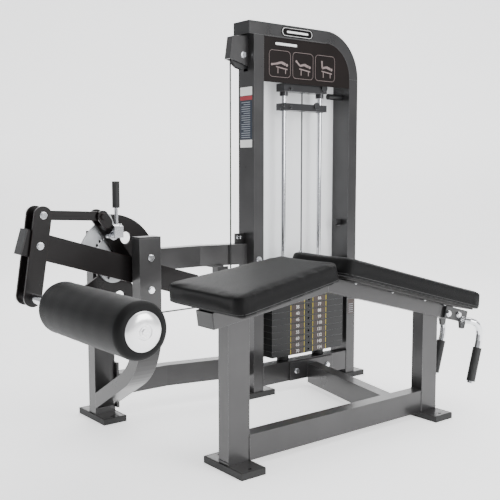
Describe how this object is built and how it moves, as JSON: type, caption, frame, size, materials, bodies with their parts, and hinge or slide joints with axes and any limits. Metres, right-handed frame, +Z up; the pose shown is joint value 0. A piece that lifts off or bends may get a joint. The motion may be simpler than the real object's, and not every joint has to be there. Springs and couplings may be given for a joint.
{
  "type": "lying leg curl machine",
  "caption": "Prone leg curl gym machine: angled bench with two pads and hand grips, a cam-driven arm with an adjustable ankle roller, and a cable-lifted weight stack in a tubular tower.",
  "frame": {"origin": "Middle of the machine's footprint, on the floor.", "axes": "+X from the ankle roller towards the hand grips, +Y from the bench towards the weight tower, +Z up."},
  "size_m": [1.6974, 1.078, 1.5],
  "materials": {
    "frame_paint": "satin grey powder coat",
    "arm_paint": "black powder coat",
    "bracket_paint": "black powder coat",
    "chrome": "polished chrome plate",
    "zinc_steel": "zinc plated steel",
    "stack_iron": "dark grey paint",
    "pad_leather": "black faux leather, satin",
    "roller_foam": "black closed-cell foam skin",
    "board_wood": "plain plywood",
    "black_plastic": "black moulded plastic",
    "core_plastic": "black tube",
    "pulley_nylon": "black nylon",
    "shoe_rubber": "black rubber",
    "grip_rubber": "black rubber",
    "placard": "dark brown enamel",
    "shroud": "pale translucent sheet",
    "cable_jacket": "black nylon jacket"
  },
  "bodies": {
    "root": {"bench_legs": "frame_paint", "thigh_beam": "frame_paint", "chest_beam": "frame_paint", "front_rail": "frame_paint", "cross_rail": "frame_paint", "upright_left": "frame_paint", "upright_right": "frame_paint", "top_beam": "frame_paint", "base_beam": "frame_paint", "upper_rail": "frame_paint", "lower_rail": "frame_paint", "front_post": "frame_paint", "rear_post": "frame_paint", "tube_caps": "black_plastic", "foot_plates": "frame_paint", "rubber_feet": "shoe_rubber", "pad_boards": "board_wood", "thigh_pad": "pad_leather", "chest_pad": "pad_leather", "handle_bracket": "bracket_paint", "handle_tubes": "chrome", "handle_grips": "grip_rubber", "guide_rods": "chrome", "rod_bumpers": "shoe_rubber", "lower_plates": "stack_iron", "addon_weights": "zinc_steel", "placard": "placard", "rear_shroud": "shroud", "storage_pegs": "black_plastic", "pulley_cover": "frame_paint", "pulley_brackets": "frame_paint", "pulley_axles": "chrome", "lift_cable": "cable_jacket", "pivot_bearings": "zinc_steel", "frame_bolts": "chrome"},
    "arm": {"arm_tube": "arm_paint", "arm_caps": "black_plastic", "pivot_shaft": "chrome", "index_disc": "zinc_steel", "cam_plate": "arm_paint", "cam_hub": "zinc_steel"},
    "selector": {"selector_crank": "arm_paint", "pin_housing": "chrome"},
    "lever": {"release_lever": "chrome", "lever_grip": "grip_rubber"},
    "index_pin": {"index_pin": "chrome"},
    "link": {"link_bar": "arm_paint"},
    "holder": {"holder_plates": "arm_paint", "holder_bolts": "chrome", "roller_axle": "chrome"},
    "roller": {"roller_core": "core_plastic", "roller_foam": "roller_foam", "roller_caps": "chrome"},
    "stack": {"head_plate": "stack_iron", "selector_rod": "chrome", "upper_plates": "stack_iron"},
    "weight_pin": {"weight_pin": "chrome"},
    "low_pulley": {"low_pulley": "pulley_nylon"},
    "cover_pulley": {"cover_pulley": "pulley_nylon"},
    "centre_pulley": {"centre_pulley": "pulley_nylon"}
  },
  "joints": [
    {"name": "arm_lift", "type": "hinge", "parent": "root", "child": "arm", "pos_m": [-0.3823, 0.167, 0.577], "axis": [0, 1, 0], "range_deg": [0, 105]},
    {"name": "stack_lift", "type": "slide", "parent": "root", "child": "stack", "axis": [0, 0, 1], "range_m": [0, 0.345]},
    {"name": "pin_pull", "type": "slide", "parent": "stack", "child": "weight_pin", "axis": [0, -1, 0], "range_m": [0, 0.12]},
    {"name": "selector_turn", "type": "hinge", "parent": "arm", "child": "selector", "pos_m": [-0.3823, 0.198, 0.577], "axis": [0, -1, 0], "range_deg": [-6, 6]},
    {"name": "holder_turn", "type": "hinge", "parent": "arm", "child": "holder", "pos_m": [-0.7457, 0.167, 0.6881], "axis": [0, -1, 0], "range_deg": [-12, 12]},
    {"name": "link_turn", "type": "hinge", "parent": "selector", "child": "link", "pos_m": [-0.5183, 0.167, 0.771], "axis": [0, -1, 0], "range_deg": [-11, 11]},
    {"name": "lever_rock", "type": "hinge", "parent": "selector", "child": "lever", "pos_m": [-0.4603, 0.168, 0.733], "axis": [1, 0, 0], "range_deg": [0, 16.6]},
    {"name": "index_slide", "type": "slide", "parent": "selector", "child": "index_pin", "axis": [0, 1, 0], "range_m": [0, 0.0101]},
    {"name": "roller_spin", "type": "hinge", "parent": "holder", "child": "roller", "pos_m": [-0.7727, -0.297, 0.5281], "axis": [0, 1, 0], "continuous": true},
    {"name": "low_pulley_spin", "type": "hinge", "parent": "root", "child": "low_pulley", "pos_m": [0.0887, 0.333, 0.445], "axis": [0, 1, 0], "continuous": true},
    {"name": "cover_pulley_spin", "type": "hinge", "parent": "root", "child": "cover_pulley", "pos_m": [0.1917, 0.333, 1.37], "axis": [0, 1, 0], "continuous": true},
    {"name": "centre_pulley_spin", "type": "hinge", "parent": "root", "child": "centre_pulley", "pos_m": [0.4532, 0.321, 1.37], "axis": [0, 1, 0], "continuous": true}
  ],
  "couplings": [
    {"joint": "stack_lift", "follows": "arm_lift", "m_per_rad": 0.188},
    {"joint": "holder_turn", "follows": "selector_turn", "ratio": 1.98},
    {"joint": "link_turn", "follows": "selector_turn", "ratio": -1.755},
    {"joint": "index_slide", "follows": "lever_rock", "m_per_rad": 0.03452},
    {"joint": "low_pulley_spin", "follows": "arm_lift", "ratio": 3.65},
    {"joint": "cover_pulley_spin", "follows": "arm_lift", "ratio": -3.65},
    {"joint": "centre_pulley_spin", "follows": "arm_lift", "ratio": -3.65}
  ]
}
